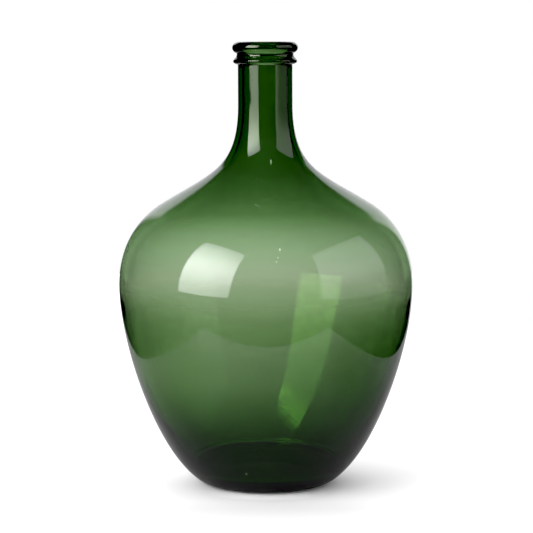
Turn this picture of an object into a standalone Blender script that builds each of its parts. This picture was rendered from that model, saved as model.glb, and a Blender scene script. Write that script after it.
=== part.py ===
"""Glass carboy: an open, free-standing vessel of clear green glass.

The blown body has one hollow wall from its pushed-up base to its mouth. Two trails of glass circle
the top of the neck: the string ring below and the fatter lip ring at the mouth. Every shape is turned
about the Z axis. The origin is the centre of the foot, on the plane that the carboy stands on.
"""

import math

import bpy
from mathutils import Vector

# Overall, in metres.
HEIGHT = 0.5600
GAP = 0.0003  # left between glass pieces that touch
TURN_STEPS = 48

# Outside of the body.
NECK_RADIUS = 0.0343
NECK_BASE_Z = 0.4831  # the straight neck starts to flare here
NECK_FLARE = 0.0817  # how far the neck keeps pulling straight down into the shoulder
SHOULDER_RADIUS = 0.1310  # where the shoulder turns from hollow to rounded
SHOULDER_Z = 0.3575
SHOULDER_SLOPE = math.radians(31.5)  # below horizontal
SHOULDER_PULL_UP = 0.0747
SHOULDER_PULL_DOWN = 0.0438
BELLY_RADIUS = 0.1858
BELLY_Z = 0.2545
BELLY_PULL_UP = 0.0420
BELLY_PULL_DOWN = 0.0701
HEEL_TOP_RADIUS = 0.0902
HEEL_TOP_Z = 0.0085
HEEL_SLOPE = math.radians(52.7)  # away from vertical, where the side meets the heel
HEEL_PULL = 0.0687

# Foot and pushed-up underside.
LAND_WIDTH = 0.0070  # flat ring that the carboy stands on
PUNT_HEIGHT = 0.0120

# Glass thickness, measured square to the outside. Blown glass is thinnest where it swells most.
NECK_WALL = 0.0078
SHOULDER_WALL = 0.0042
BELLY_WALL = 0.0023
LOWER_WALL = 0.0066
LOWER_WALL_Z = 0.1000
HEEL_WALL = 0.0105
FLOOR_EDGE_RADIUS = 0.0880
FLOOR_EDGE_Z = 0.0210
FLOOR_CENTRE_Z = 0.0240
FLOOR_PULL = 0.0080

# Mouth and its rings. The lip ring and the rim of the neck share one oval section.
BORE_RADIUS = NECK_RADIUS - NECK_WALL
LIP_CENTRE_RADIUS = 0.0328
LIP_HALF_WIDTH = 0.00855
LIP_HALF_HEIGHT = 0.0074
LIP_Z = HEIGHT - LIP_HALF_HEIGHT
RIM_ROUNDING = 0.0028  # fire-polished inner edge of the mouth
GROOVE_RADIUS = 0.0356
GROOVE_Z = 0.5445
STRING_RADIUS = 0.0403
STRING_Z = 0.5360
STRING_BOTTOM_Z = 0.5318

GLASS_GREEN = (0.20, 0.42, 0.16, 1.0)
GLASS_ROUGHNESS = 0.02
GLASS_IOR = 1.52


def bezier(start, start_pull, end_pull, end, steps):
    """Points of a cubic curve from start to end, both included."""
    a, b, c, d = (Vector(p) for p in (start, start_pull, end_pull, end))
    points = []
    for i in range(steps + 1):
        t = i / steps
        u = 1.0 - t
        points.append(a * u**3 + b * (3 * u * u * t) + c * (3 * u * t * t) + d * t**3)
    return points


def joined(*runs):
    """One list of points from runs that each start where the last one ended."""
    points = list(runs[0])
    for run in runs[1:]:
        points.extend(run[1:])
    return points


def oval_height(radius):
    """Half the height of the lip's oval section at a radius."""
    across = (radius - LIP_CENTRE_RADIUS) / LIP_HALF_WIDTH
    return LIP_HALF_HEIGHT * math.sqrt(max(0.0, 1.0 - across * across))


def outer_side():
    """Neck, shoulder, belly and lower side of the body, running down."""
    fall = Vector((math.cos(SHOULDER_SLOPE), -math.sin(SHOULDER_SLOPE)))
    shoulder = Vector((SHOULDER_RADIUS, SHOULDER_Z))
    neck_base = Vector((NECK_RADIUS, NECK_BASE_Z))
    belly = Vector((BELLY_RADIUS, BELLY_Z))
    heel_top = Vector((HEEL_TOP_RADIUS, HEEL_TOP_Z))
    tuck = Vector((-math.sin(HEEL_SLOPE), -math.cos(HEEL_SLOPE)))
    down = Vector((0.0, -1.0))
    return joined(
        bezier(neck_base, neck_base + down * NECK_FLARE, shoulder - fall * SHOULDER_PULL_UP, shoulder, 9),
        bezier(shoulder, shoulder + fall * SHOULDER_PULL_DOWN, belly - down * BELLY_PULL_UP, belly, 5),
        bezier(belly, belly + down * BELLY_PULL_DOWN, heel_top - tuck * HEEL_PULL, heel_top, 9),
    )


def heel_and_foot():
    """Heel arc, the flat land it rests on, and the pushed-up underside, ending on the axis."""
    heel_radius = HEEL_TOP_Z / (1.0 - math.sin(HEEL_SLOPE))
    centre_radius = HEEL_TOP_RADIUS - heel_radius * math.cos(HEEL_SLOPE)
    arc = []
    for i in range(4):
        angle = HEEL_SLOPE + (math.pi / 2 - HEEL_SLOPE) * i / 3
        arc.append(Vector((centre_radius + heel_radius * math.cos(angle),
                           heel_radius * (1.0 - math.sin(angle)))))
    arc[-1].y = 0.0
    land_inner = centre_radius - LAND_WIDTH
    punt = bezier((land_inner, 0.0), (land_inner * 0.85, 0.002), (land_inner * 0.5, PUNT_HEIGHT),
                  (0.0, PUNT_HEIGHT), 4)
    return joined(arc, [arc[-1], punt[0]], punt)


def wall_at(z):
    """Glass thickness at a height on the outside."""
    stations = ((HEEL_TOP_Z, HEEL_WALL), (LOWER_WALL_Z, LOWER_WALL), (BELLY_Z, BELLY_WALL),
                (SHOULDER_Z, SHOULDER_WALL), (NECK_BASE_Z, NECK_WALL))
    for (low_z, low), (high_z, high) in zip(stations, stations[1:]):
        if z <= high_z:
            share = max(0.0, (z - low_z) / (high_z - low_z))
            return low + (high - low) * share
    return NECK_WALL


def inner_side():
    """Inside of the wall, running up: the outside moved in by the glass thickness."""
    outside = outer_side()
    inside = []
    for before, here, after in zip(outside, outside[1:], outside[2:]):
        along = (after - before).normalized()
        inward = Vector((along.y, -along.x))
        inside.append(here + inward * wall_at(here.y))
    inside = [p for p in inside if p.y > 0.030]
    inside.reverse()
    wall_foot = inside[0]
    along = (inside[0] - inside[1]).normalized()
    corner = bezier((FLOOR_EDGE_RADIUS, FLOOR_EDGE_Z), (FLOOR_EDGE_RADIUS + FLOOR_PULL, FLOOR_EDGE_Z),
                    wall_foot + along * FLOOR_PULL, wall_foot, 4)
    floor = bezier((0.0, FLOOR_CENTRE_Z), (FLOOR_EDGE_RADIUS * 0.4, FLOOR_CENTRE_Z),
                   (FLOOR_EDGE_RADIUS * 0.65, FLOOR_EDGE_Z), (FLOOR_EDGE_RADIUS, FLOOR_EDGE_Z), 4)
    return joined(floor, corner, inside) + [Vector((BORE_RADIUS, NECK_BASE_Z))]


def mouth_rim():
    """The neck's own rim, from the bore over the top and down to the outside of the neck."""
    top = LIP_Z + oval_height(BORE_RADIUS + RIM_ROUNDING)
    rim = []
    for i in range(4):
        angle = math.pi - math.pi / 2 * i / 3
        rim.append(Vector((BORE_RADIUS + RIM_ROUNDING * (1.0 + math.cos(angle)),
                           top - RIM_ROUNDING * (1.0 - math.sin(angle)))))
    rim.append(Vector((LIP_CENTRE_RADIUS, HEIGHT)))
    rim.append(Vector((NECK_RADIUS, LIP_Z + oval_height(NECK_RADIUS))))
    return rim


def body_profile():
    """Half section of the body, from the middle of its floor round to the middle of its underside."""
    return inner_side() + mouth_rim() + joined(outer_side(), heel_and_foot())


def lip_ring_profile():
    """Closed section of the lip ring, clear of the neck inside it."""
    inner = NECK_RADIUS + GAP
    start = math.acos((inner - LIP_CENTRE_RADIUS) / LIP_HALF_WIDTH)
    end = -math.acos((GROOVE_RADIUS - LIP_CENTRE_RADIUS) / LIP_HALF_WIDTH)
    section = []
    for i in range(11):
        angle = start + (end - start) * i / 10
        section.append(Vector((LIP_CENTRE_RADIUS + LIP_HALF_WIDTH * math.cos(angle),
                               LIP_Z + LIP_HALF_HEIGHT * math.sin(angle))))
    bottom = GROOVE_Z + GAP / 2
    return section + [Vector((GROOVE_RADIUS, bottom)), Vector((inner, bottom))]


def string_ring_profile():
    """Closed section of the string ring: a sloping top and a quick turn under its widest point."""
    inner = NECK_RADIUS + GAP
    top = GROOVE_Z - GAP / 2
    upper = bezier((GROOVE_RADIUS, top), (GROOVE_RADIUS, top - 0.0037),
                   (STRING_RADIUS, STRING_Z + 0.0020), (STRING_RADIUS, STRING_Z), 5)
    lower = bezier((STRING_RADIUS, STRING_Z), (STRING_RADIUS, STRING_Z - 0.0025),
                   (STRING_RADIUS - 0.0023, STRING_BOTTOM_Z + 0.0008), (inner, STRING_BOTTOM_Z), 5)
    return [Vector((inner, top))] + joined(upper, lower)


def glass(name, colour):
    """Clear green glass for one piece."""
    material = bpy.data.materials.new(name)
    material.use_nodes = True
    shader = material.node_tree.nodes["Principled BSDF"]
    shader.inputs["Base Color"].default_value = colour
    shader.inputs["Metallic"].default_value = 0.0
    shader.inputs["Roughness"].default_value = GLASS_ROUGHNESS
    shader.inputs["IOR"].default_value = GLASS_IOR
    shader.inputs["Transmission Weight"].default_value = 1.0
    material.diffuse_color = colour
    return material


def turned(name, profile, closed, collection, parent):
    """One object turned about Z from a profile of (radius, height) points."""
    count = len(profile)
    edges = [(i, i + 1) for i in range(count - 1)]
    if closed:
        edges.append((count - 1, 0))
    mesh = bpy.data.meshes.new(name)
    mesh.from_pydata([(p[0], 0.0, p[1]) for p in profile], edges, [])
    mesh.materials.append(glass(name, GLASS_GREEN))
    piece = bpy.data.objects.new(name, mesh)
    collection.objects.link(piece)
    piece.parent = parent
    screw = piece.modifiers.new("turn", "SCREW")
    screw.axis = "Z"
    screw.angle = 2 * math.pi
    screw.steps = TURN_STEPS
    screw.render_steps = TURN_STEPS
    screw.use_merge_vertices = True
    screw.merge_threshold = 0.00005
    screw.use_smooth_shade = True
    return piece


def clear_scene():
    """Remove every object that the file opened with."""
    for item in list(bpy.data.objects):
        bpy.data.objects.remove(item, do_unlink=True)


def main():
    clear_scene()
    collection = bpy.data.collections.new("glass_carboy")
    bpy.context.scene.collection.children.link(collection)
    axis = bpy.data.objects.new("carboy_axis", None)
    axis.empty_display_size = HEIGHT
    collection.objects.link(axis)
    turned("glass_body", body_profile(), False, collection, axis)
    turned("string_ring", string_ring_profile(), True, collection, axis)
    turned("lip_ring", lip_ring_profile(), True, collection, axis)


main()
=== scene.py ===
"""Looks of the glass carboy: one continuous vessel of green glass on a pale studio floor."""

import math

import bmesh
import bpy
from mathutils import Matrix, Vector, noise


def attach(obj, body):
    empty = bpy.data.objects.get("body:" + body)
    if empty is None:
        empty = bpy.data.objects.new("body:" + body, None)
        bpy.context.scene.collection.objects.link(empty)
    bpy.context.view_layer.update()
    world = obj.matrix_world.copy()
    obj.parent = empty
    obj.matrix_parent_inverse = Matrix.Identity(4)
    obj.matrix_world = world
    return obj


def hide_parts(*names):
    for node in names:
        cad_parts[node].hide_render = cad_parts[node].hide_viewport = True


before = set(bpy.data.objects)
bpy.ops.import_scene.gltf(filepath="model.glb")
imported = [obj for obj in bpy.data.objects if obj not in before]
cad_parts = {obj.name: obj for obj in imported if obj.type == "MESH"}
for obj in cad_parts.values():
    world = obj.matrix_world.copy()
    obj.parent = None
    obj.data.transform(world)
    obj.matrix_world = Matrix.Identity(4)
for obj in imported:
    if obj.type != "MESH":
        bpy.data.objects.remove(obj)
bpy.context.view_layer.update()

# Outside of the body, in metres. These dimensions are the CAD part's.
HEIGHT = 0.5600
NECK_RADIUS = 0.0343
NECK_BASE_Z = 0.4831  # the straight neck starts to flare here
NECK_FLARE = 0.0817  # how far the neck keeps pulling straight down into the shoulder
SHOULDER_RADIUS = 0.1310  # where the shoulder turns from hollow to rounded
SHOULDER_Z = 0.3575
SHOULDER_SLOPE = math.radians(31.5)  # below horizontal
SHOULDER_PULL_UP = 0.0747
SHOULDER_PULL_DOWN = 0.0438
BELLY_RADIUS = 0.1858
BELLY_Z = 0.2545
BELLY_PULL_UP = 0.0420
BELLY_PULL_DOWN = 0.0701
HEEL_TOP_RADIUS = 0.0902
HEEL_TOP_Z = 0.0085
HEEL_SLOPE = math.radians(52.7)  # away from vertical, where the side meets the heel
HEEL_PULL = 0.0687
LAND_WIDTH = 0.0070  # flat ring that the carboy stands on
PUNT_HEIGHT = 0.0120  # of the pushed-up underside
PUNT_PULLS = (0.85, 0.5)  # shares of its radius; the first stays level, 2 mm lower than in the CAD

# Mouth and its rings, from the CAD part too, but for the fillet. The lip's section is an oval.
LIP_CENTRE_RADIUS = 0.0328
LIP_HALF_WIDTH = 0.00855
LIP_HALF_HEIGHT = 0.0074
LIP_Z = HEIGHT - LIP_HALF_HEIGHT
RIM_ROUNDING = 0.0028  # inner edge of the mouth
GROOVE_RADIUS = 0.0356  # between the lip and the string ring
GROOVE_Z = 0.5445
GROOVE_PULL = 0.0037
STRING_RADIUS = 0.0403
STRING_Z = 0.5360
STRING_BOTTOM_Z = 0.5318
STRING_PULL_UP = 0.0020
STRING_PULL_DOWN = 0.0025
STRING_UNDERCUT = (0.0023, 0.0008)  # inwards and up from its lower corner
RING_FILLET = 0.0012  # under the string ring, where it was laid on the neck

# Inside, chosen for what it does to the light. The floor's edge is 2 mm further out than in the CAD
# part and the floor 1 mm higher, and the wall is up to 1 mm thicker or thinner.
FLOOR_EDGE_RADIUS = 0.0900
FLOOR_EDGE_Z = 0.0220
FLOOR_CENTRE_Z = 0.0250
FLOOR_PULL = 0.0060
FLOOR_PULLS = (0.4, 0.65)  # shares of its edge's radius
WALL_FOOT_Z = 0.028  # the wall ends above this, and the corner of the floor starts
BORE_TOP_Z = 0.5560  # the rounding of the rim follows
NECK_WALL = 0.0078
# Glass thickness at heights on the outside. Blown glass is thinnest where it swells most.
WALLS = ((0.0085, 0.0110), (0.055, 0.0087), (0.095, 0.0062), (0.135, 0.0050), (0.175, 0.0046),
         (0.215, 0.0036), (0.245, 0.0022), (0.275, 0.0021), (0.305, 0.0023), (0.335, 0.0030),
         (0.365, 0.0044), (0.400, 0.0061), (0.440, 0.0074), (NECK_BASE_Z, NECK_WALL))
# The inside leans off the axis, so the glass is thicker on the +X side. Offsets at heights.
LEAN = ((0.020, 0.0), (0.050, 0.0006), (0.090, 0.0012), (0.150, 0.0011), (0.200, 0.0003),
        (0.245, 0.0), (0.345, 0.0001), (0.440, 0.0))
# The bore swells behind the string ring and the lip.
BORE_SWELL = ((0.5230, 0.0), (0.5300, 0.0), (0.5360, 0.0040), (0.5445, 0.0), (0.5500, 0.0034))
WAVE_HEIGHT = 0.00016  # of the uneven inner surface
WAVE_FREQUENCY = Vector((9.0, 9.0, 6.0))
WAVE_FROM_RADIUS = 0.030  # the middle of the floor and the bore stay smooth

# Steps of each stretch of the outline, and of a full turn.
SHOULDER_STEPS = 60
BELLY_STEPS = 44
LOWER_SIDE_STEPS = 70
HEEL_STEPS = 12
PUNT_STEPS = 20
FLOOR_STEPS = 20
BORE_STEPS = 48
RIM_STEPS = 8
LIP_STEPS = 28
STRING_STEPS = 14
FILLET_STEPS = 8
NECK_STEPS = 12
NECK_MARGIN = 0.0040  # the steps of the straight neck stop this far above its base
TURN_STEPS = 180
MERGE_DISTANCE = 0.00001

# Seeds in the front of the wall: places across and up, their radius, and how much taller they are.
SEEDS = ((0.0167, 0.3149, 0.0008, 2.2), (0.0143, 0.3059, 0.0005, 1.5), (0.0125, 0.3013, 0.0007, 1.0),
         (0.0066, 0.4110, 0.0005, 8.0), (-0.0245, 0.0330, 0.0006, 1.0))
SEED_ALBEDO = (0.75, 0.95)
SEED_GRAIN_SCALE = 900.0
SEED_GRAIN_RANGE = (0.3, 0.7)
SEED_ROUGHNESS = 0.6
SEED_GLINT = 0.7
SEED_GLINT_COLOUR = (0.85, 1.0, 0.80)

# Glass. The tints are those of the light that it mirrors, on the body and up the neck.
GLASS_IOR = 1.52
GLASS_COLOUR = (0.135, 0.408, 0.0)  # what its thickness lets through
GLASS_DENSITY = 310.0
RIPPLE_SCALE = 26.0
RIPPLE_DETAIL = 2.0
RIPPLE_STRENGTH = 0.5
RIPPLE_HEIGHT = 0.0002
BODY_TINT = (0.90, 0.84, 0.92)
NECK_TINT = (0.90, 1.00, 0.76)
NECK_TINT_REACH = (0.400, 0.450)

# Table. A reach is two places between which a share changes, and the shares follow it where both
# are given together.
TABLE_SIDE = 0.52  # from the middle, as the front and the back are
TABLE_FRONT = 0.535
TABLE_BACK = 2.40
TABLE_DROP = 0.0002  # keeps it clear of the foot
TABLE_ROUGHNESS = 0.9
TABLE_ALBEDO = 0.88
TABLE_REFLECTED = (0.34, 0.60)  # painted shade: shares of its light that the glass mirrors, near it and far from it
TABLE_REFLECTED_REACH = (0.16, 0.56)
TABLE_SIDE_SHARE = 0.50  # painted shade: of its mirrored light, at its sides
TABLE_SIDE_ACROSS = (0.1, 0.4)
TABLE_SIDE_ALONG = (-0.5, -0.2)
TABLE_FADE = (0.30, 2.20)  # where it melts into the sweep, seen through the glass
TABLE_THROUGH = 0.66  # painted light: share of the paper's light that shows through the glass
CONTACT_GLOW = (0.088, 0.120, 1.50, 1.0)  # two distances from the axis, and the painted light on the paper at them: a painted glow round the foot
CONTACT_GLOW_ACROSS = (0.02, 0.085, 1.0, 0.0)
FRONT_SHADE = (-0.25, -0.14, 0.03, 0.13)  # painted shade on the paper: from and to in Y, softness, and how much darker
FRONT_SHADE_ACROSS = (0.08, 0.2, 1.0, 0.0)

# Lamps. Facing angles are in degrees: yaw from -Y towards +X, tilt up from the horizon, and roll. A
# panel is measured across its own face, in units of its distance.
PANEL_EDGE = 0.012
SOFTBOX_FACING = (-53.5, 11.4, -4.7)
SOFTBOX_ACROSS = (-0.311, 0.487)
SOFTBOX_UP = (-0.245, 0.801)
SOFTBOX_LIGHT = 11.2
SOFTBOX_LAMP = (-0.15, 0.27)  # where its lamp shines through the cloth
SOFTBOX_FALL = (0.95, 0.44)  # distances from the lamp at which the cloth is half as bright
SOFTBOX_ON_TABLE = 0.37
# The softbox as the far wall of the glass mirrors it: its tint, its edges, and its light going up.
SOFTBOX_INSIDE = (0.40, 0.58, 0.22)
SOFTBOX_INSIDE_EDGE = 0.02
SOFTBOX_INSIDE_ACROSS = (-0.19, 0.487)
SOFTBOX_INSIDE_UP = (-0.245, 1.15)
SOFTBOX_INSIDE_RISE = (0.55, 0.85, 1.0, 3.2)
SOFTBOX_INSIDE_FADE = (0.86, 1.10, 1.0, 0.3)
BOARD_FACING = (75.0, 0.0, 0.0)
BOARD_ACROSS = (-0.62, 0.66)
BOARD_UP = (-0.12, 0.96)
BOARD_LIGHT = 1.75
BOARD_FAR_SHARE = 0.75  # of its near edge's light
BOARD_LOW_ACROSS = (-0.50, -0.20, 0.8, 0.30)  # the share of its lower part
BOARD_LOW_UP = (0.0, 0.35)

# Room. The backdrop is a patch of the sweep that the glass mirrors, in degrees, with leaning sides.
BACKDROP_AZIMUTH = (158.0, 190.0)
BACKDROP_LEAN = (-0.5, 0.8)
BACKDROP_ELEVATION = (-30.0, 26.0)
BACKDROP_EDGE = 3.0
BACKDROP_LIGHT = 1.00
ROOM_TINT = (0.97, 0.95, 1.0)
ROOM_LIGHT = 0.01
SWEEP_LIGHT = 1.00
# Light inside the glass meets the sweep where it looks nearly straight back. In the body and in the
# neck, which looks higher: how nearly, and the light that it finds there.
SWEEP_INSIDE_BODY = (0.82, 0.93, 0.0, 1.0)
SWEEP_INSIDE_NECK = (0.70, 0.80, 0.0, 1.8)
NECK_LOOKS = (-0.070, -0.045)
SWEEP_BEHIND = 0.9  # the part of the sweep that shows through the glass lies this nearly behind it
SWEEP_SIDES = (-0.020, 0.075)  # across the sweep behind the glass, as sines
SWEEP_SIDE_LIGHTS = (1.13, 0.89)
LOW_TINT = (1.04, 0.94, 1.02)  # of the lower sweep and the table, seen through the glass
LOW_TINT_REACH = (-0.125, -0.075)
DOME_LIGHT = 1.60
DOME_LEAN = (-0.25, 0.40)  # how much more of it comes from +X and from +Y than from above
# How many surfaces a ray has met, between the whole numbers.
ONE_OR_MORE = 0.5
FAR_WALL = 3.5

CAMERA_SIDE = 0.0018
CAMERA_DISTANCE = 2.70
CAMERA_HEIGHT = 0.570
CAMERA_PITCH = math.radians(6.2)
CAMERA_ROLL = math.radians(0.22)
CAMERA_LENS = 144.8
CAMERA_SENSOR = 36.0
CAMERA_NEAR = 0.05
BLACK_POINT = 0.008
BOUNCES = 32
GLOSSY_BOUNCES = 16


def bezier(start, start_pull, end_pull, end, steps):
    """Points of a cubic curve from start to end, both included."""
    a, b, c, d = (Vector(p) for p in (start, start_pull, end_pull, end))
    points = []
    for i in range(steps + 1):
        t = i / steps
        u = 1.0 - t
        points.append(a * u**3 + b * (3 * u * u * t) + c * (3 * u * t * t) + d * t**3)
    return points


def joined(*runs):
    """One list of points from runs that each start where the last one ended."""
    points = list(runs[0])
    for run in runs[1:]:
        points.extend(run[1:])
    return points


def straight(radius, start_z, end_z, steps):
    """Points up or down a straight tube."""
    return [Vector((radius, start_z + (end_z - start_z) * i / steps)) for i in range(steps + 1)]


def outer_side():
    """Neck, shoulder, belly and lower side of the body, running down."""
    fall = Vector((math.cos(SHOULDER_SLOPE), -math.sin(SHOULDER_SLOPE)))
    shoulder = Vector((SHOULDER_RADIUS, SHOULDER_Z))
    neck_base = Vector((NECK_RADIUS, NECK_BASE_Z))
    belly = Vector((BELLY_RADIUS, BELLY_Z))
    heel_top = Vector((HEEL_TOP_RADIUS, HEEL_TOP_Z))
    tuck = Vector((-math.sin(HEEL_SLOPE), -math.cos(HEEL_SLOPE)))
    down = Vector((0.0, -1.0))
    return joined(
        bezier(neck_base, neck_base + down * NECK_FLARE, shoulder - fall * SHOULDER_PULL_UP, shoulder,
               SHOULDER_STEPS),
        bezier(shoulder, shoulder + fall * SHOULDER_PULL_DOWN, belly - down * BELLY_PULL_UP, belly,
               BELLY_STEPS),
        bezier(belly, belly + down * BELLY_PULL_DOWN, heel_top - tuck * HEEL_PULL, heel_top,
               LOWER_SIDE_STEPS),
    )


def heel_and_foot():
    """Heel arc, the flat land it rests on, and the pushed-up underside, ending on the axis."""
    heel_radius = HEEL_TOP_Z / (1.0 - math.sin(HEEL_SLOPE))
    centre_radius = HEEL_TOP_RADIUS - heel_radius * math.cos(HEEL_SLOPE)
    arc = []
    for i in range(HEEL_STEPS + 1):
        angle = HEEL_SLOPE + (math.pi / 2 - HEEL_SLOPE) * i / HEEL_STEPS
        arc.append(Vector((centre_radius + heel_radius * math.cos(angle),
                           heel_radius * (1.0 - math.sin(angle)))))
    arc[-1].y = 0.0
    land_inner = centre_radius - LAND_WIDTH
    outer_pull, inner_pull = PUNT_PULLS
    punt = bezier((land_inner, 0.0), (land_inner * outer_pull, 0.0), (land_inner * inner_pull, PUNT_HEIGHT),
                  (0.0, PUNT_HEIGHT), PUNT_STEPS)
    return joined(arc, [arc[-1], punt[0]], punt)


def smooth_at(stations, z):
    """Value at a height, on a smooth curve through (height, value) stations."""
    heights = [height for height, value in stations]
    values = [value for height, value in stations]
    z = min(max(z, heights[0]), heights[-1])
    i = max(k for k in range(len(stations) - 1) if heights[k] <= z)
    slopes = []
    for k in (i, i + 1):
        low, high = max(k - 1, 0), min(k + 1, len(stations) - 1)
        slopes.append((values[high] - values[low]) / (heights[high] - heights[low]))
    span = heights[i + 1] - heights[i]
    t = (z - heights[i]) / span
    return (values[i] * (2 * t**3 - 3 * t**2 + 1) + span * slopes[0] * (t**3 - 2 * t**2 + t)
            + values[i + 1] * (3 * t**2 - 2 * t**3) + span * slopes[1] * (t**3 - t**2))


def inner_side():
    """Floor and inside of the wall, running up: the outside moved in by the glass thickness."""
    outside = outer_side()
    inside = []
    for before, here, after in zip(outside, outside[1:], outside[2:]):
        along = (after - before).normalized()
        inward = Vector((along.y, -along.x))
        inside.append(here + inward * smooth_at(WALLS, here.y))
    inside = [p for p in inside if p.y > WALL_FOOT_Z]
    inside.reverse()
    wall_foot = inside[0]
    along = (inside[0] - inside[1]).normalized()
    corner = bezier((FLOOR_EDGE_RADIUS, FLOOR_EDGE_Z), (FLOOR_EDGE_RADIUS + FLOOR_PULL, FLOOR_EDGE_Z),
                    wall_foot + along * FLOOR_PULL, wall_foot, FLOOR_STEPS)
    middle_pull, edge_pull = FLOOR_PULLS
    floor = bezier((0.0, FLOOR_CENTRE_Z), (FLOOR_EDGE_RADIUS * middle_pull, FLOOR_CENTRE_Z),
                   (FLOOR_EDGE_RADIUS * edge_pull, FLOOR_EDGE_Z), (FLOOR_EDGE_RADIUS, FLOOR_EDGE_Z),
                   FLOOR_STEPS)
    bore = straight(NECK_RADIUS - NECK_WALL, NECK_BASE_Z, BORE_TOP_Z, BORE_STEPS)
    for point in bore:
        point.x += smooth_at(BORE_SWELL, point.y)
    return joined(floor, corner, inside) + bore


def mouth():
    """Rim, lip and string ring, from the bore over the top and down to the outside of the neck."""
    bore = NECK_RADIUS - NECK_WALL + BORE_SWELL[-1][1]
    across = (bore + RIM_ROUNDING - LIP_CENTRE_RADIUS) / LIP_HALF_WIDTH
    top = LIP_Z + LIP_HALF_HEIGHT * math.sqrt(1 - across * across)
    rim = []
    for i in range(RIM_STEPS + 1):
        angle = math.pi - math.pi / 2 * i / RIM_STEPS
        rim.append(Vector((bore + RIM_ROUNDING * (1.0 + math.cos(angle)),
                           top - RIM_ROUNDING * (1.0 - math.sin(angle)))))
    start = math.acos(across)
    end = -math.acos((GROOVE_RADIUS - LIP_CENTRE_RADIUS) / LIP_HALF_WIDTH)
    lip = []
    for i in range(1, LIP_STEPS + 1):
        angle = start + (end - start) * i / LIP_STEPS
        lip.append(Vector((LIP_CENTRE_RADIUS + LIP_HALF_WIDTH * math.cos(angle),
                           LIP_Z + LIP_HALF_HEIGHT * math.sin(angle))))
    upper = bezier((GROOVE_RADIUS, GROOVE_Z), (GROOVE_RADIUS, GROOVE_Z - GROOVE_PULL),
                   (STRING_RADIUS, STRING_Z + STRING_PULL_UP), (STRING_RADIUS, STRING_Z), STRING_STEPS)
    inwards, upwards = STRING_UNDERCUT
    lower = bezier((STRING_RADIUS, STRING_Z), (STRING_RADIUS, STRING_Z - STRING_PULL_DOWN),
                   (STRING_RADIUS - inwards, STRING_BOTTOM_Z + upwards),
                   (NECK_RADIUS + RING_FILLET, STRING_BOTTOM_Z), STRING_STEPS)
    fillet = bezier((NECK_RADIUS + RING_FILLET, STRING_BOTTOM_Z), (NECK_RADIUS, STRING_BOTTOM_Z),
                    (NECK_RADIUS, STRING_BOTTOM_Z), (NECK_RADIUS, STRING_BOTTOM_Z - RING_FILLET),
                    FILLET_STEPS)
    return joined(rim + lip, upper, lower, fillet)


def vessel_profile():
    """Half section of the vessel, from the middle of its floor round to the middle of its underside."""
    neck = straight(NECK_RADIUS, STRING_BOTTOM_Z - 2 * RING_FILLET, NECK_BASE_Z + NECK_MARGIN, NECK_STEPS)
    return inner_side() + mouth() + neck + joined(outer_side(), heel_and_foot())


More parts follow.
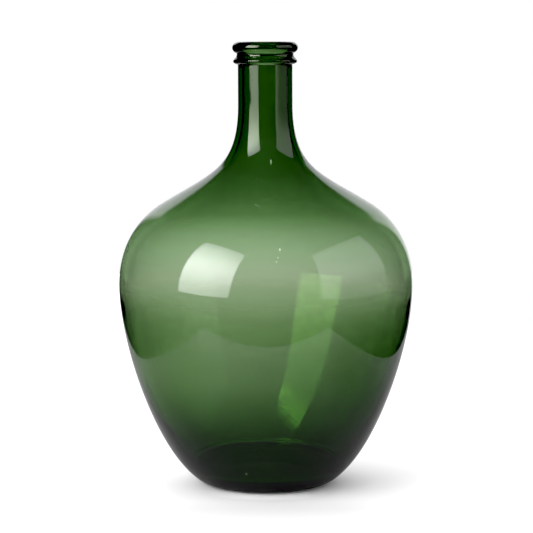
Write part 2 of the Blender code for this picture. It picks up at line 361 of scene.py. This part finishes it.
class Nodes:
    """Short ways to add nodes to one node tree."""

    def __init__(self, tree):
        self.tree = tree

    def add(self, kind, **settings):
        """A new node with its settings."""
        node = self.tree.nodes.new(kind)
        for name, value in settings.items():
            setattr(node, name, value)
        return node

    def feed(self, socket, value):
        """Link another node's output to a socket, or set the socket to a constant."""
        if isinstance(value, bpy.types.NodeSocket):
            self.tree.links.new(value, socket)
        else:
            socket.default_value = value

    def maths(self, operation, *values):
        """Result of one maths node."""
        node = self.add("ShaderNodeMath", operation=operation)
        for socket, value in zip(node.inputs, values):
            self.feed(socket, value)
        return node.outputs[0]

    def product(self, first, *others):
        """All values multiplied, from the first on."""
        for other in others:
            first = self.maths("MULTIPLY", first, other)
        return first

    def beyond(self, value, limit):
        """One where a value is greater than a limit, nought elsewhere."""
        return self.maths("GREATER_THAN", value, limit)

    def ramp(self, value, low, high, out_low=0.0, out_high=1.0):
        """A smooth step of a value between two limits."""
        node = self.add("ShaderNodeMapRange", interpolation_type="SMOOTHSTEP")
        self.feed(node.inputs["Value"], value)
        self.feed(node.inputs["From Min"], low)
        self.feed(node.inputs["From Max"], high)
        self.feed(node.inputs["To Min"], out_low)
        self.feed(node.inputs["To Max"], out_high)
        return node.outputs["Result"]

    def choose(self, switch, off, on):
        """One value at nought, another at one, and a mixture between them."""
        node = self.add("ShaderNodeMix", data_type="FLOAT")
        self.feed(node.inputs["Factor"], switch)
        self.feed(node.inputs["A"], off)
        self.feed(node.inputs["B"], on)
        return node.outputs["Result"]

    def choose_colour(self, switch, off, on):
        """The same for two constant colours."""
        node = self.add("ShaderNodeMix", data_type="RGBA")
        self.feed(node.inputs["Factor"], switch)
        for end, colour in zip("AB", (off, on)):
            socket = next(k for k in node.inputs if k.name == end and k.type == "RGBA")
            self.feed(socket, (*colour, 1.0))
        return next(k for k in node.outputs if k.type == "RGBA")

    def band(self, value, low, high, soft):
        """One inside a range, nought outside it."""
        rise = self.ramp(value, low - soft, low + soft)
        fall = self.ramp(value, high - soft, high + soft, 1.0, 0.0)
        return self.product(rise, fall)

    def split(self, vector):
        """The X, Y and Z of a vector."""
        node = self.add("ShaderNodeSeparateXYZ")
        self.feed(node.inputs[0], vector)
        return node.outputs[0], node.outputs[1], node.outputs[2]

    def dot(self, vector, axis):
        """How far a vector reaches along an axis."""
        node = self.add("ShaderNodeVectorMath", operation="DOT_PRODUCT")
        self.feed(node.inputs[0], vector)
        node.inputs[1].default_value = axis
        return node.outputs["Value"]

    def panel(self, direction, facing, across_range, up_range):
        """A flat rectangle of light far away, and its own coordinates."""
        yaw, tilt, roll = (math.radians(angle) for angle in facing)
        out = Vector((math.sin(yaw) * math.cos(tilt), -math.cos(yaw) * math.cos(tilt), math.sin(tilt)))
        side = Vector((math.cos(yaw), math.sin(yaw), 0.0))
        turn = Matrix.Rotation(roll, 3, out)
        depth = self.dot(direction, out)
        nearest = 0.001
        reach = self.maths("MAXIMUM", depth, nearest)
        across = self.maths("DIVIDE", self.dot(direction, turn @ side), reach)
        up = self.maths("DIVIDE", self.dot(direction, turn @ out.cross(side)), reach)
        shape = self.product(self.band(across, *across_range, PANEL_EDGE),
                             self.band(up, *up_range, PANEL_EDGE), self.beyond(depth, nearest))
        return shape, across, up


def glass_material():
    """Clear glass that colours light by the thickness it crosses, with a faintly rippled skin."""
    material = bpy.data.materials.new("green_glass")
    material.use_nodes = True
    nodes = Nodes(material.node_tree)
    shader = material.node_tree.nodes["Principled BSDF"]
    shader.inputs["Base Color"].default_value = (1, 1, 1, 1)
    shader.inputs["Roughness"].default_value = 0.0
    shader.inputs["IOR"].default_value = GLASS_IOR
    shader.inputs["Transmission Weight"].default_value = 1.0
    place = nodes.add("ShaderNodeTexCoord").outputs["Object"]
    up_neck = nodes.ramp(nodes.split(place)[2], *NECK_TINT_REACH)
    nodes.feed(shader.inputs["Specular Tint"], nodes.choose_colour(up_neck, BODY_TINT, NECK_TINT))
    ripples = nodes.add("ShaderNodeTexNoise")
    nodes.feed(ripples.inputs["Vector"], place)
    ripples.inputs["Scale"].default_value = RIPPLE_SCALE
    ripples.inputs["Detail"].default_value = RIPPLE_DETAIL
    bump = nodes.add("ShaderNodeBump")
    nodes.feed(bump.inputs["Height"], ripples.outputs[0])
    bump.inputs["Strength"].default_value = RIPPLE_STRENGTH
    bump.inputs["Distance"].default_value = RIPPLE_HEIGHT
    nodes.feed(shader.inputs["Normal"], bump.outputs[0])
    absorb = nodes.add("ShaderNodeVolumeAbsorption")
    absorb.inputs["Color"].default_value = (*GLASS_COLOUR, 1.0)
    absorb.inputs["Density"].default_value = GLASS_DENSITY
    nodes.feed(material.node_tree.nodes["Material Output"].inputs["Volume"], absorb.outputs[0])
    return material


def sand_material():
    """Pale grain. It glows a little, because lamps do not reach it inside the glass."""
    material = bpy.data.materials.new("pale_sand")
    material.use_nodes = True
    nodes = Nodes(material.node_tree)
    grain = nodes.add("ShaderNodeTexNoise")
    grain.inputs["Scale"].default_value = SEED_GRAIN_SCALE
    shader = material.node_tree.nodes["Principled BSDF"]
    shader.inputs["Roughness"].default_value = SEED_ROUGHNESS
    nodes.feed(shader.inputs["Base Color"], nodes.ramp(grain.outputs[0], *SEED_GRAIN_RANGE, *SEED_ALBEDO))
    shader.inputs["Emission Color"].default_value = (*SEED_GLINT_COLOUR, 1.0)
    shader.inputs["Emission Strength"].default_value = SEED_GLINT
    return material


def make_seeds():
    """Pale specks of unmelted sand, each centred halfway through the glass."""
    outside = outer_side()
    shape = bmesh.new()
    for across, height, size, stretch in SEEDS:
        above, below = next(pair for pair in zip(outside, outside[1:]) if pair[1].y <= height)
        share = (above.y - height) / (above.y - below.y)
        radius = above.x + (below.x - above.x) * share - smooth_at(WALLS, height) / 2
        centre = (across, -math.sqrt(radius * radius - across * across), height)
        place = Matrix.Translation(centre) @ Matrix.Diagonal((1.0, 1.0, stretch, 1.0))
        bmesh.ops.create_icosphere(shape, subdivisions=2, radius=size, matrix=place)
    mesh = bpy.data.meshes.new("glass_seeds")
    shape.to_mesh(mesh)
    shape.free()
    mesh.shade_smooth()
    mesh.materials.append(sand_material())
    seeds = bpy.data.objects.new("glass_seeds", mesh)
    bpy.context.scene.collection.objects.link(seeds)
    return seeds


def make_vessel():
    """The whole vessel, turned about Z, with an inside that leans and is slightly uneven."""
    profile = vessel_profile()
    edges = [(i, i + 1) for i in range(len(profile) - 1)]
    mesh = bpy.data.meshes.new("glass_vessel")
    mesh.from_pydata([(point.x, 0.0, point.y) for point in profile], edges, [])
    mesh.materials.append(glass_material())
    vessel = bpy.data.objects.new("glass_vessel", mesh)
    lean = vessel.vertex_groups.new(name="lean")
    full = max(offset for height, offset in LEAN)
    for i in range(len(inner_side())):
        lean.add([i], smooth_at(LEAN, profile[i].y) / full, "REPLACE")
    bpy.context.scene.collection.objects.link(vessel)
    screw = vessel.modifiers.new("turn", "SCREW")
    screw.steps = TURN_STEPS
    screw.render_steps = TURN_STEPS
    screw.use_merge_vertices = True
    screw.merge_threshold = MERGE_DISTANCE
    screw.use_smooth_shade = True
    bpy.context.view_layer.update()
    evaluated = vessel.evaluated_get(bpy.context.evaluated_depsgraph_get())
    turned = bpy.data.meshes.new_from_object(evaluated)
    vessel.modifiers.clear()
    vessel.data = turned
    for vertex in turned.vertices:
        for group in vertex.groups:
            vertex.co.x -= group.weight * full
            outward = Vector((vertex.co.x, vertex.co.y, 0.0))
            if outward.length > WAVE_FROM_RADIUS and vertex.co.z < NECK_BASE_Z:
                wave = noise.noise(vertex.co * WAVE_FREQUENCY)
                vertex.co += outward.normalized() * WAVE_HEIGHT * wave
    vessel.vertex_groups.clear()
    return vessel


def softbox_lights(nodes, direction):
    """The softbox itself, and the softbox as the far wall of the glass mirrors it."""
    shape, across, up = nodes.panel(direction, SOFTBOX_FACING, SOFTBOX_ACROSS, SOFTBOX_UP)
    fall = 1.0
    for place, lamp, half in zip((across, up), SOFTBOX_LAMP, SOFTBOX_FALL):
        off = nodes.maths("DIVIDE", nodes.maths("SUBTRACT", place, lamp), half)
        fall = nodes.maths("DIVIDE", fall, nodes.maths("MULTIPLY_ADD", off, off, 1.0))
    inner = nodes.product(nodes.band(across, *SOFTBOX_INSIDE_ACROSS, SOFTBOX_INSIDE_EDGE),
                          nodes.band(up, *SOFTBOX_INSIDE_UP, SOFTBOX_INSIDE_EDGE),
                          nodes.ramp(up, *SOFTBOX_INSIDE_RISE), nodes.ramp(up, *SOFTBOX_INSIDE_FADE))
    return nodes.product(shape, fall, SOFTBOX_LIGHT), nodes.product(inner, SOFTBOX_LIGHT)


def board_light(nodes, direction):
    """The white board on the right, dimmer at its far edge and low down."""
    shape, across, up = nodes.panel(direction, BOARD_FACING, BOARD_ACROSS, BOARD_UP)
    low_share = nodes.ramp(across, *BOARD_LOW_ACROSS)
    return nodes.product(shape, nodes.ramp(across, *BOARD_ACROSS, 1.0, BOARD_FAR_SHARE),
                         nodes.ramp(up, *BOARD_LOW_UP, low_share, 1.0), BOARD_LIGHT)


def backdrop_light(nodes, x, y, z):
    """The patch of sweep that the glass mirrors, between two leaning sides."""
    to_degrees = 180 / math.pi
    elevation = nodes.maths("MULTIPLY", nodes.maths("ARCSINE", z), to_degrees)
    front = nodes.maths("ARCTAN2", x, nodes.maths("MULTIPLY", y, -1.0))
    front = nodes.maths("MULTIPLY", front, to_degrees)
    whole_turn = nodes.maths("MULTIPLY", nodes.maths("LESS_THAN", front, 0.0), 360.0)
    azimuth = nodes.maths("ADD", whole_turn, front)
    low, high = (nodes.maths("MULTIPLY_ADD", elevation, lean, side)
                 for lean, side in zip(BACKDROP_LEAN, BACKDROP_AZIMUTH))
    past_low = nodes.ramp(nodes.maths("SUBTRACT", azimuth, low), -BACKDROP_EDGE, BACKDROP_EDGE)
    before_high = nodes.ramp(nodes.maths("SUBTRACT", high, azimuth), -BACKDROP_EDGE, BACKDROP_EDGE)
    upright = nodes.band(elevation, *BACKDROP_ELEVATION, BACKDROP_EDGE)
    return nodes.product(past_low, before_high, upright, BACKDROP_LIGHT)


def dome_light(nodes, x, y, softbox):
    """Soft light that falls on the table, with some of the softbox in it."""
    dome = DOME_LIGHT
    for axis, lean in zip((x, y), DOME_LEAN):
        dome = nodes.maths("MULTIPLY_ADD", axis, DOME_LIGHT * lean, dome)
    return nodes.maths("MULTIPLY_ADD", softbox, SOFTBOX_ON_TABLE, dome)


def make_world():
    """Bright sweep seen directly and through the glass, dark room with softboxes in reflections."""
    world = bpy.data.worlds.new("studio")
    bpy.context.scene.world = world
    world.use_nodes = True
    nodes = Nodes(world.node_tree)
    direction = nodes.add("ShaderNodeTexCoord").outputs["Generated"]
    x, y, z = nodes.split(direction)
    softbox, inner_softbox = softbox_lights(nodes, direction)
    lit = nodes.maths("ADD", board_light(nodes, direction), backdrop_light(nodes, x, y, z))
    dome = dome_light(nodes, x, y, softbox)

    path = nodes.add("ShaderNodeLightPath")
    mirrored = nodes.beyond(path.outputs["Glossy Depth"], ONE_OR_MORE)
    inside = nodes.beyond(path.outputs["Transmission Depth"], ONE_OR_MORE)
    far_wall = nodes.beyond(path.outputs["Transmission Depth"], FAR_WALL)
    sweep = nodes.choose(nodes.ramp(z, *NECK_LOOKS), nodes.ramp(y, *SWEEP_INSIDE_BODY),
                         nodes.ramp(y, *SWEEP_INSIDE_NECK))
    room = nodes.maths("ADD", nodes.maths("MAXIMUM", lit, nodes.product(sweep, inside)), ROOM_LIGHT)
    behind = nodes.product(nodes.beyond(y, SWEEP_BEHIND), inside)
    side = nodes.ramp(x, *SWEEP_SIDES, *SWEEP_SIDE_LIGHTS)
    # A lamp-sampling ray carries none of these marks. It starts from the table or from a seed.
    seen = path.outputs["Is Camera Ray"]
    for mark in ("Is Glossy Ray", "Is Singular Ray", "Is Transmission Ray"):
        seen = nodes.maths("MAXIMUM", seen, path.outputs[mark])
    bounced = nodes.beyond(path.outputs["Diffuse Depth"], ONE_OR_MORE)
    scattered = nodes.maths("MAXIMUM", bounced, nodes.maths("SUBTRACT", 1.0, seen))

    colour = nodes.add("ShaderNodeCombineColor")
    for socket, share, dimmed, low in zip(colour.inputs, ROOM_TINT, SOFTBOX_INSIDE, LOW_TINT):
        lamp = nodes.choose(far_wall, softbox, nodes.product(inner_softbox, dimmed))
        mirror = nodes.product(nodes.maths("ADD", room, lamp), share)
        tinted = nodes.product(side, nodes.ramp(z, *LOW_TINT_REACH, low, 1.0))
        sweep_seen = nodes.choose(behind, SWEEP_LIGHT, tinted)
        light = nodes.choose(mirrored, sweep_seen, mirror)
        nodes.feed(socket, nodes.choose(scattered, light, dome))
    nodes.feed(world.node_tree.nodes["Background"].inputs["Color"], colour.outputs[0])


def mirrored_painted_shade(nodes, from_axis, from_middle, along):
    """Painted shade on the paper where the glass mirrors it: least light near the glass, and less at the
    sides.
    """
    share = nodes.ramp(from_axis, *TABLE_REFLECTED_REACH, *TABLE_REFLECTED)
    beside = nodes.product(nodes.ramp(from_middle, *TABLE_SIDE_ACROSS), nodes.ramp(along, *TABLE_SIDE_ALONG))
    return nodes.product(share, nodes.ramp(beside, 0.0, 1.0, 1.0, TABLE_SIDE_SHARE))


def direct_painted_light_and_shade(nodes, from_axis, from_middle, along):
    """Painted light and shade on the paper seen directly: a painted glow round the foot, and painted shade
    in front of it.
    """
    low, high, soft, darker = FRONT_SHADE
    # Painted shade in front of the foot.
    shade = nodes.product(nodes.band(along, low, high, soft), -darker,
                          nodes.ramp(from_middle, *FRONT_SHADE_ACROSS))
    shade = nodes.maths("ADD", shade, 1.0)
    # Painted glow round the foot.
    glow = nodes.maths("SUBTRACT", nodes.ramp(from_axis, *CONTACT_GLOW), 1.0)
    glow = nodes.product(glow, nodes.ramp(from_middle, *CONTACT_GLOW_ACROSS))
    return nodes.product(shade, nodes.maths("ADD", glow, 1.0))


def paper_material():
    """Matt paper, with painted shade where the glass mirrors it, painted light where it shows through the
    glass, and a painted glow and shade round the foot where it is seen directly.
    """
    material = bpy.data.materials.new("paper")
    material.use_nodes = True
    nodes = Nodes(material.node_tree)
    shader = material.node_tree.nodes["Principled BSDF"]
    shader.inputs["Roughness"].default_value = TABLE_ROUGHNESS
    shader.inputs["Specular IOR Level"].default_value = 0.0
    path = nodes.add("ShaderNodeLightPath")
    mirrored = nodes.beyond(path.outputs["Glossy Depth"], ONE_OR_MORE)
    through = nodes.beyond(path.outputs["Transmission Depth"], ONE_OR_MORE)
    place = nodes.add("ShaderNodeTexCoord").outputs["Object"]
    length = nodes.add("ShaderNodeVectorMath", operation="LENGTH")
    nodes.feed(length.inputs[0], place)
    from_axis = length.outputs["Value"]
    across, along, _ = nodes.split(place)
    from_middle = nodes.maths("ABSOLUTE", across)
    # Painted shade on the paper where the glass mirrors it, darkest near the foot.
    in_mirror = mirrored_painted_shade(nodes, from_axis, from_middle, along)
    # Painted glow and shade on the paper where it is seen directly.
    plain = direct_painted_light_and_shade(nodes, from_axis, from_middle, along)
    # Painted light on the paper seen through the glass: dimmer overall, lighter on the left than on the
    # right, and tinted.
    far_sine = nodes.maths("DIVIDE", across, TABLE_BACK + CAMERA_DISTANCE)
    side = nodes.ramp(far_sine, *SWEEP_SIDES, *(TABLE_THROUGH * light for light in SWEEP_SIDE_LIGHTS))
    colour = nodes.add("ShaderNodeCombineColor")
    for socket, low in zip(colour.inputs, LOW_TINT):
        seen = nodes.choose(through, plain, nodes.product(side, low))
        nodes.feed(socket, nodes.product(nodes.choose(mirrored, seen, in_mirror), TABLE_ALBEDO))
    nodes.feed(shader.inputs["Base Color"], colour.outputs[0])
    fade = nodes.product(nodes.ramp(along, *TABLE_FADE), through, nodes.maths("SUBTRACT", 1.0, mirrored))
    clear = nodes.add("ShaderNodeBsdfTransparent")
    blend = nodes.add("ShaderNodeMixShader")
    for socket, value in zip(blend.inputs, (fade, shader.outputs[0], clear.outputs[0])):
        nodes.feed(socket, value)
    nodes.feed(material.node_tree.nodes["Material Output"].inputs["Surface"], blend.outputs[0])
    return material


def make_table():
    """Pale table that the carboy stands on, with edges that show in the glass."""
    mesh = bpy.data.meshes.new("studio_table")
    table = bpy.data.objects.new("studio_table", mesh)
    bpy.context.scene.collection.objects.link(table)
    top = bmesh.new()
    bmesh.ops.create_grid(top, x_segments=1, y_segments=1, size=1.0)
    bmesh.ops.scale(top, vec=(TABLE_SIDE, (TABLE_FRONT + TABLE_BACK) / 2, 1.0), verts=top.verts)
    bmesh.ops.translate(top, vec=(0, (TABLE_BACK - TABLE_FRONT) / 2, -TABLE_DROP), verts=top.verts)
    top.to_mesh(mesh)
    top.free()
    mesh.materials.append(paper_material())


def make_camera():
    """Camera just above the mouth, looking slightly down at the carboy."""
    data = bpy.data.cameras.new("camera")
    data.lens = CAMERA_LENS
    data.sensor_width = CAMERA_SENSOR
    data.clip_start = CAMERA_NEAR
    camera = bpy.data.objects.new("camera", data)
    camera.location = (CAMERA_SIDE, -CAMERA_DISTANCE, CAMERA_HEIGHT)
    camera.rotation_euler = (math.pi / 2 - CAMERA_PITCH, CAMERA_ROLL, 0)
    bpy.context.scene.collection.objects.link(camera)
    bpy.context.scene.camera = camera


def set_view():
    """Plain tones with a deeper black, and light that can cross the glass many times."""
    scene = bpy.context.scene
    scene.view_settings.view_transform = "Standard"
    scene.view_settings.use_curve_mapping = True
    scene.view_settings.curve_mapping.black_level = (BLACK_POINT, BLACK_POINT, BLACK_POINT)
    scene.view_settings.curve_mapping.update()
    scene.cycles.max_bounces = BOUNCES
    scene.cycles.transmission_bounces = BOUNCES
    scene.cycles.glossy_bounces = GLOSSY_BOUNCES
    scene.cycles.use_denoising = True
    scene.cycles.caustics_refractive = True
    scene.cycles.caustics_reflective = True
    scene.cycles.sample_clamp_indirect = 0


vessel = make_vessel()
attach(vessel, "root")
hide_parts("glass_body", "string_ring", "lip_ring")
seeds = make_seeds()
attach(seeds, "root")
make_world()
make_table()
make_camera()
set_view()
